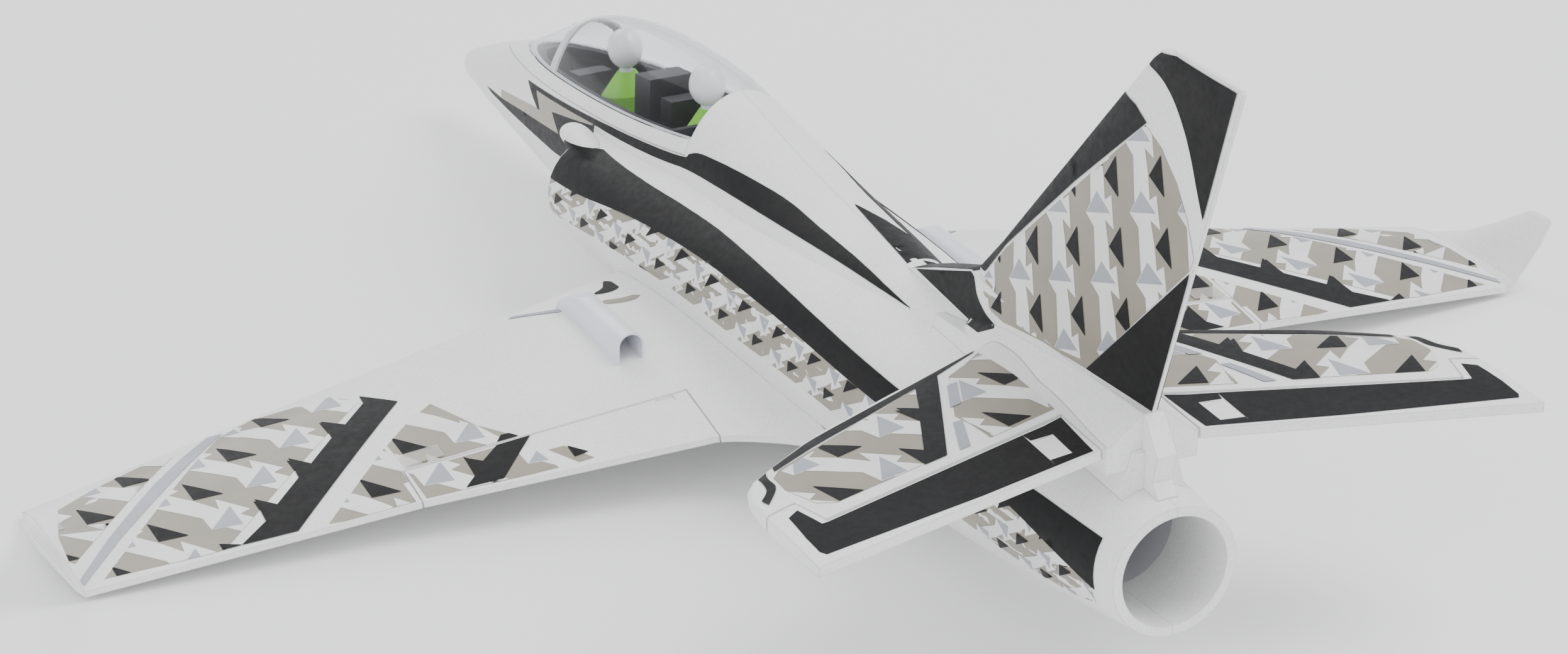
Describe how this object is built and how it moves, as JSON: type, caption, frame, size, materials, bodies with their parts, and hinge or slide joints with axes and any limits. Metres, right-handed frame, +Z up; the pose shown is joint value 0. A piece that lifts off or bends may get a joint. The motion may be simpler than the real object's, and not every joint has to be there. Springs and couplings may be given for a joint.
{
  "type": "radio control jet aeroplane",
  "caption": "Foam radio-control ducted-fan jet aeroplane with swept wings, side intakes, clear canopy, lift-off hatch, hinged ailerons and elevators.",
  "frame": {"origin": "belly rest plane, on the centre plane, half way between the nose tip and the rear tip of the fin", "axes": "+Z up, nose towards -Y, pilot's left wing towards +X"},
  "size_m": [0.748, 0.732, 0.271],
  "materials": {
    "foam": "moulded bead foam",
    "canopy_clear": "clear moulding",
    "white_plastic": "satin",
    "black_plastic": "matte",
    "green_plastic": "painted",
    "steel": "bright",
    "motor_can": "anodised",
    "liner": "thin sheet",
    "ply": "light plywood",
    "battery_wrap": "shrink wrap",
    "strap": "woven",
    "carbon": "carbon rod",
    "white_nylon": "moulded"
  },
  "bodies": {
    "airframe": {"aileron_pins_left": "steel", "aileron_pins_right": "steel", "aileron_servo_left": "black_plastic", "aileron_servo_right": "black_plastic", "battery_strap": "strap", "elevator_pins_left": "steel", "elevator_pins_right": "steel", "elevator_servo": "black_plastic", "equipment_tray": "ply", "exhaust_liner": "liner", "fan_housing": "black_plastic", "fin": "foam", "flight_battery": "battery_wrap", "fuselage_left": "foam", "fuselage_magnets": "steel", "fuselage_right": "foam", "intake_cheek_left": "foam", "intake_cheek_right": "foam", "motor": "motor_can", "motor_tail_cone": "black_plastic", "receiver": "black_plastic", "servo_fairing_left": "white_plastic", "servo_fairing_right": "white_plastic", "speed_controller": "battery_wrap", "stabilizer": "foam", "tail_block": "foam", "wing_left": "foam", "wing_right": "foam", "wing_spar_left": "carbon", "wing_spar_right": "carbon", "winglet_left": "foam", "winglet_right": "foam"},
    "canopy_hatch": {"hatch_frame": "foam", "canopy_glazing": "canopy_clear", "canopy_hoop": "white_plastic", "cockpit_tub": "black_plastic", "hatch_magnets": "steel", "pilot_heads": "white_plastic", "pilot_bodies": "green_plastic", "front_seat": "black_plastic", "rear_instrument_hood": "black_plastic", "front_instrument_panel": "black_plastic"},
    "fan": {"fan_rotor": "black_plastic", "fan_spinner": "black_plastic", "motor_shaft": "steel"},
    "aileron_left": {"aileron_left": "foam"},
    "aileron_right": {"aileron_right": "foam"},
    "elevator_left": {"elevator_left": "foam"},
    "elevator_right": {"elevator_right": "foam"},
    "servo_arm_left": {"aileron_servo_arm_left": "white_nylon"},
    "servo_arm_right": {"aileron_servo_arm_right": "white_nylon"}
  },
  "joints": [
    {"name": "hatch_lift", "type": "slide", "parent": "airframe", "child": "canopy_hatch", "axis": [0, 0, 1], "range_m": [0, 0.045]},
    {"name": "fan_spin", "type": "hinge", "parent": "airframe", "child": "fan", "pos_m": [0, 0.097, 0.059], "axis": [0, 1, 0], "continuous": true},
    {"name": "aileron_left_hinge", "type": "hinge", "parent": "airframe", "child": "aileron_left", "pos_m": [0.0766, 0.054, 0.03535], "axis": [0.9918, -0.0586, -0.1132], "range_deg": [-22, 22]},
    {"name": "aileron_right_hinge", "type": "hinge", "parent": "airframe", "child": "aileron_right", "pos_m": [-0.0766, 0.054, 0.03535], "axis": [-0.9918, -0.0586, -0.1132], "range_deg": [-22, 22]},
    {"name": "elevator_left_hinge", "type": "hinge", "parent": "airframe", "child": "elevator_left", "pos_m": [0.022, 0.281, 0.1065], "axis": [0.9608, 0.2762, -0.024], "range_deg": [-18, 18]},
    {"name": "elevator_right_hinge", "type": "hinge", "parent": "airframe", "child": "elevator_right", "pos_m": [-0.022, 0.281, 0.1065], "axis": [-0.9608, 0.2762, -0.024], "range_deg": [-18, 18]},
    {"name": "servo_arm_left_turn", "type": "hinge", "parent": "airframe", "child": "servo_arm_left", "pos_m": [0.088, -0.015, 0.048], "axis": [0, 0, 1], "range_deg": [-15, 15]},
    {"name": "servo_arm_right_turn", "type": "hinge", "parent": "airframe", "child": "servo_arm_right", "pos_m": [-0.088, -0.015, 0.048], "axis": [0, 0, 1], "range_deg": [-15, 15]}
  ],
  "couplings": [
    {"joint": "aileron_right_hinge", "follows": "aileron_left_hinge", "ratio": 1},
    {"joint": "elevator_right_hinge", "follows": "elevator_left_hinge", "ratio": -1}
  ]
}
